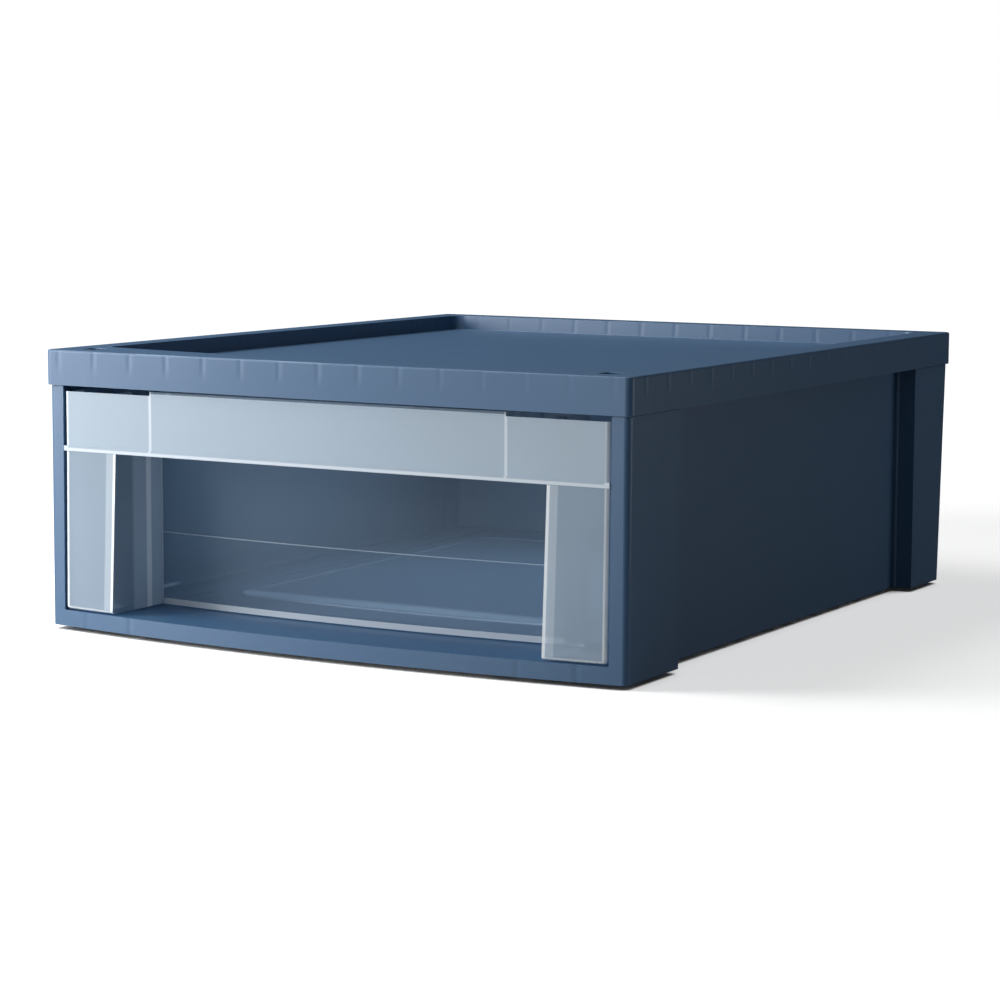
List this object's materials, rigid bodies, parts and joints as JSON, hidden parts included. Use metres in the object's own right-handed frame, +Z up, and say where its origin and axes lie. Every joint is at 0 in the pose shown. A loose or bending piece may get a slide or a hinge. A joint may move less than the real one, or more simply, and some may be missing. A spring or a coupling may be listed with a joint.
{
  "type": "stackable drawer box",
  "caption": "Stackable box with an open-fronted case, a pressed-on lid with a sunken top, and a translucent drawer pulled by a hooded hand recess.",
  "frame": {"origin": "on the ground plane, in the middle of the box's outline", "axes": "+X to the right seen from the front, -Y out of the front, the way the drawer opens, +Z up"},
  "size_m": [0.362, 0.4369, 0.155],
  "materials": {
    "case_plastic": "fine satin texture, denim blue",
    "lid_plastic": "fine satin texture, denim blue",
    "drawer_plastic": "smooth, translucent, frosted"
  },
  "bodies": {
    "box": {"case": "case_plastic", "lid": "lid_plastic"},
    "drawer": {"drawer": "drawer_plastic"}
  },
  "joints": [
    {"name": "drawer_slide", "type": "slide", "parent": "box", "child": "drawer", "axis": [0, -1, 0], "range_m": [0, 0.3]}
  ]
}
